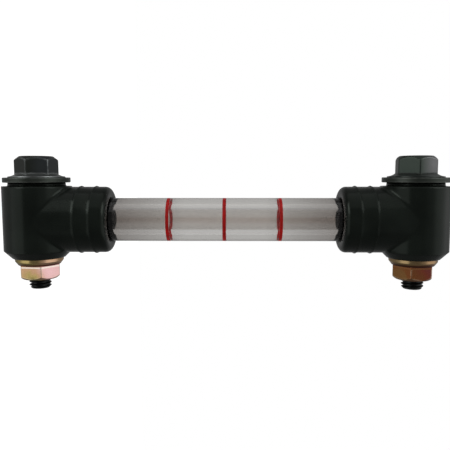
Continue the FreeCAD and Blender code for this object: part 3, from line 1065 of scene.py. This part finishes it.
def makeCamera():
    sizes = cameraSizes
    pitch = math.radians(sizes["pitch"])
    right = Vector((0, 0, 1))
    back = Vector((math.cos(pitch), -math.sin(pitch), 0))
    up = back.cross(right)
    aim = Matrix((right, up, back)).transposed().to_4x4()
    aim = aim @ Matrix.Rotation(math.radians(sizes["turn"]), 4, "Y")
    aim = aim @ Matrix.Rotation(math.radians(sizes["roll"]), 4, "Z")
    spot = Vector((sizes["distance"], -sizes["above"], sizes["along"])) * mm
    spot.y += tubeY
    bpy.ops.object.camera_add()
    camera = bpy.context.active_object
    camera.matrix_world = Matrix.Translation(spot) @ aim
    camera.data.lens = sizes["lens"]
    camera.data.clip_start = sizes["nearest"]
    bpy.context.scene.camera = camera


# Stage: a pale floor under the hanging gauge, a white surround and soft lamps

stageLook = {
    "floorDrop": 0.50,
    "floorSize": 6.0,
    "floorTones": ((0.78, 0.78, 0.77), (0.80, 0.80, 0.79)),
    "floorGrain": 300.0,
    "floorRough": 0.9,
    "floorLift": 0.60,      # light added to the floor for the eye alone
    "surround": 0.60,
    "front": 0.18,          # share of white that polished pieces show of the side of the eye
    # that share round the tube, at angles in degrees from the eye's side towards the upper end
    "boards": [(-105, 0.30), (-80, 0.50), (-70, 1.0), (-35, 1.0), (-31, 0.18), (15, 0.18),
               (22, 0.30), (42, 0.42), (56, 1.0), (96, 1.0), (120, 0.30)],
    "boardTop": 0.75,       # where the boards end, as a part of a direction's length
    "boardFade": 0.2,
    # share of white that the glass shows, from straight up (-1) to straight down (1)
    "sky": [(-1.0, 0.44), (-0.9, 0.64), (-0.7, 0.84), (-0.4, 0.82), (-0.2, 0.92), (0.1, 1.0),
            (0.3, 0.92), (0.55, 0.84), (0.9, 0.84), (1.0, 0.78)],
}


def makeStudioTone():
    # What a polished piece shows of the direction that a ray takes: a white board at each side
    # of the eye, dim in front and above, and paler behind.
    look = stageLook
    group, start, stop = newGroup(
        "studioTone", {"Front": look["front"], "Top": look["boardTop"], "Fade": look["boardFade"]},
        ["Mirrored", "Through"])
    place = addNode(group, "NewGeometry")
    heading = addNode(group, "VectorMath", {0: place.outputs["Position"]}, operation="NORMALIZE")
    apart = addNode(group, "SeparateXYZ", {"Vector": heading.outputs[0]})
    angle = addMath(group, "ARCTAN2", apart.outputs["Z"], apart.outputs["X"])
    lap = remap(group, angle, -math.pi, math.pi)
    boards = addRamp(group, lap, [
        ((degrees + 180) / 360, (tone, tone, tone)) for degrees, tone in look["boards"]])
    tilt = addMath(group, "ABSOLUTE", apart.outputs["Y"])
    full = addMath(group, "SUBTRACT", start.outputs["Top"], start.outputs["Fade"])
    level = remap(group, tilt, start.outputs["Top"], full)
    share = mixColour(group, level, (0.0, 0.0, 0.0), boards)
    mirrored = addMath(group, "MAXIMUM", share, start.outputs["Front"])
    group.links.new(mirrored, stop.inputs["Mirrored"])
    sky = addRamp(group, remap(group, apart.outputs["Y"], -1.0, 1.0), [
        ((down + 1) / 2, (tone, tone, tone)) for down, tone in look["sky"]])
    group.links.new(sky, stop.inputs["Through"])
    return group


def pickByRay(tree, path, light, mirrored, through, seen):
    # the light that falls on the object, then what polish and glass show, then what the eye sees
    pick = light
    for ray, shader in (("Is Glossy Ray", mirrored), ("Is Transmission Ray", through),
                        ("Is Camera Ray", seen)):
        pick = addNode(tree, "MixShader", {
            0: path.outputs[ray], 1: pick, 2: shader.outputs[0]}).outputs[0]
    return pick


def makeFloor():
    look = stageLook
    deselect()
    bpy.ops.mesh.primitive_plane_add(size=look["floorSize"],
                                     location=(0, 0, cadBox[0].z - look["floorDrop"]))
    floor = bpy.context.active_object
    floor.name = "floor"
    material, tree, shader = newMaterial("paleFloor", Roughness=look["floorRough"],
                                         Specular_IOR_Level=0.0)
    grain = useGroup(tree, fineGrain, Scale=look["floorGrain"])
    tone = mixColour(tree, grain.outputs["Mask"], *look["floorTones"])
    tree.links.new(tone, shader.inputs["Base Color"])
    path = addNode(tree, "LightPath")
    studio = useGroup(tree, studioTone)
    glow = addNode(tree, "Emission", {"Color": (1, 1, 1, 1), "Strength": look["floorLift"]})
    lifted = addNode(tree, "AddShader", {0: shader.outputs[0], 1: glow.outputs[0]})
    mirrored = addNode(tree, "Emission", {"Color": studio.outputs["Mirrored"]})
    through = addNode(tree, "Emission", {"Color": studio.outputs["Through"]})
    pick = pickByRay(tree, path, shader.outputs[0], mirrored, through, lifted)
    tree.links.new(pick, tree.nodes["Material Output"].inputs["Surface"])
    floor.data.materials.append(material)


def makeSurround():
    world = bpy.data.worlds.new("softSurround")
    bpy.context.scene.world = world
    world.use_nodes = True
    tree = world.node_tree
    lighting = tree.nodes["Background"]
    lighting.inputs["Color"].default_value = (1, 1, 1, 1)
    lighting.inputs["Strength"].default_value = stageLook["surround"]
    path = addNode(tree, "LightPath")
    studio = useGroup(tree, studioTone)
    mirrored = addNode(tree, "Background", {"Color": studio.outputs["Mirrored"]})
    through = addNode(tree, "Background", {"Color": studio.outputs["Through"]})
    white = addNode(tree, "Background", {"Color": (1, 1, 1, 1), "Strength": 1.0})
    pick = pickByRay(tree, path, lighting.outputs[0], mirrored, through, white)
    tree.links.new(pick, tree.nodes["World Output"].inputs["Surface"])


lamps = {
    "lowerSide": {"spot": (0.30, -0.42, -0.55), "size": 0.48, "power": 2.3},
    "upperSide": {"spot": (0.32, -0.50, 0.68), "size": 0.52, "power": 2.0},
    "overhead": {"spot": (0.25, -1.00, 0.0), "size": 1.2, "power": 1.8},
}


def makeLamps():
    for name, lamp in lamps.items():
        spot = Vector(lamp["spot"])
        aim = (-spot).to_track_quat("-Z", "Y").to_euler()
        bpy.ops.object.light_add(type="AREA", location=spot, rotation=aim)
        light = bpy.context.active_object
        light.name = name
        light.data.energy = lamp["power"]
        light.data.size = lamp["size"]


studioTone = makeStudioTone()
makeCamera()
makeFloor()
makeSurround()
makeLamps()
bpy.context.scene.view_settings.view_transform = "Standard"
print("stage set")
